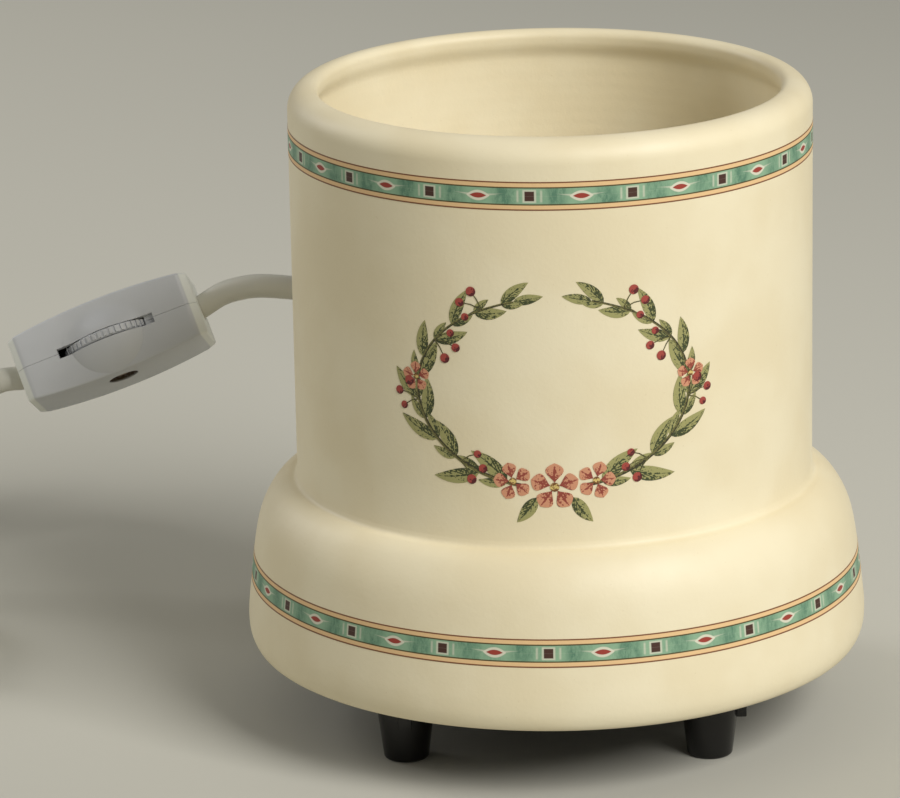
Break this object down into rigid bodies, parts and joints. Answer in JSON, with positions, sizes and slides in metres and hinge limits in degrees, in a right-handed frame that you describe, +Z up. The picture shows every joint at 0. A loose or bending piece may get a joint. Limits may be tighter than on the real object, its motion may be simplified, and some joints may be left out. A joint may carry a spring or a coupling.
{
  "type": "electric candle warmer",
  "caption": "Electric candle warmer: cream ceramic pot with a heated well, black peg feet, and a lead with a thumbwheel switch, stored coil and plug.",
  "frame": {"origin": "on the table under the pot's axis, level with the undersides of the feet", "axes": "+Z up along the pot's axis; -Y towards the front of the pot; +X to the right seen from the front, with the lead leaving at the back and running to -X"},
  "size_m": [0.3218, 0.1948, 0.1558],
  "materials": {
    "ceramic": "satin cream glaze with printed border bands and a printed sprig design",
    "aluminium": "turned, satin",
    "steel": "zinc plated",
    "brass": "plain stamped",
    "silicone": "matte",
    "mica": "pressed mica sheet",
    "fibre": "felted mineral fibre",
    "black_plastic": "moulded, satin",
    "white_plastic": "moulded, fine satin grain",
    "lead_sheath": "smooth flexible PVC",
    "porcelain": "glazed porcelain",
    "brown_core": "core insulation",
    "blue_core": "core insulation",
    "sleeve": "braided glass sleeve"
  },
  "bodies": {
    "root": {"ceramic_pot": "ceramic", "pot_flange": "ceramic", "pot_ledge": "ceramic", "heating_plate": "aluminium", "plate_gasket": "silicone", "mica_disc_upper": "mica", "heating_element": "steel", "mica_disc_lower": "mica", "insulation_pad": "fibre", "clamp_plate": "steel", "heat_shield": "steel", "centre_stud": "steel", "clamp_nut": "steel", "shield_nut": "steel", "base_washer": "steel", "base_nut": "steel", "overheat_fuse": "steel", "fuse_strap": "steel", "base_cover": "black_plastic", "foot_rear_right": "black_plastic", "foot_rear_left": "black_plastic", "foot_front_left": "black_plastic", "foot_front_right": "black_plastic", "foot_screw_rear_right": "steel", "foot_screw_rear_left": "steel", "foot_screw_front_left": "steel", "foot_screw_front_right": "steel", "terminal_block": "porcelain", "terminal_screw": "steel", "strain_relief": "lead_sheath", "relief_nut": "black_plastic", "supply_wire_live": "brown_core", "supply_wire_neutral": "blue_core", "heater_wire_live": "sleeve", "heater_wire_neutral": "sleeve", "fuse_link_wire": "sleeve", "switch_lower_shell": "white_plastic", "switch_upper_shell": "white_plastic", "switch_screw": "steel", "switch_nut": "steel", "contact_spring_right": "brass", "contact_spring_left": "brass", "switch_neutral_core": "blue_core", "switch_live_core_right": "brown_core", "switch_live_core_left": "brown_core", "lead_to_switch": "lead_sheath", "lead_from_switch": "lead_sheath", "lead_coil": "lead_sheath", "coil_tie": "black_plastic", "lead_to_plug": "lead_sheath", "plug_body": "lead_sheath", "plug_blade_left": "brass", "plug_blade_right": "brass"},
    "switch_wheel": {"thumb_wheel": "white_plastic", "contact_disc": "brass"}
  },
  "joints": [
    {"name": "thumb_wheel_turn", "type": "hinge", "parent": "root", "child": "switch_wheel", "pos_m": [-0.11539, 0.1022, 0.06422], "axis": [-0.3476, 0.42, 0.8383], "continuous": true}
  ]
}
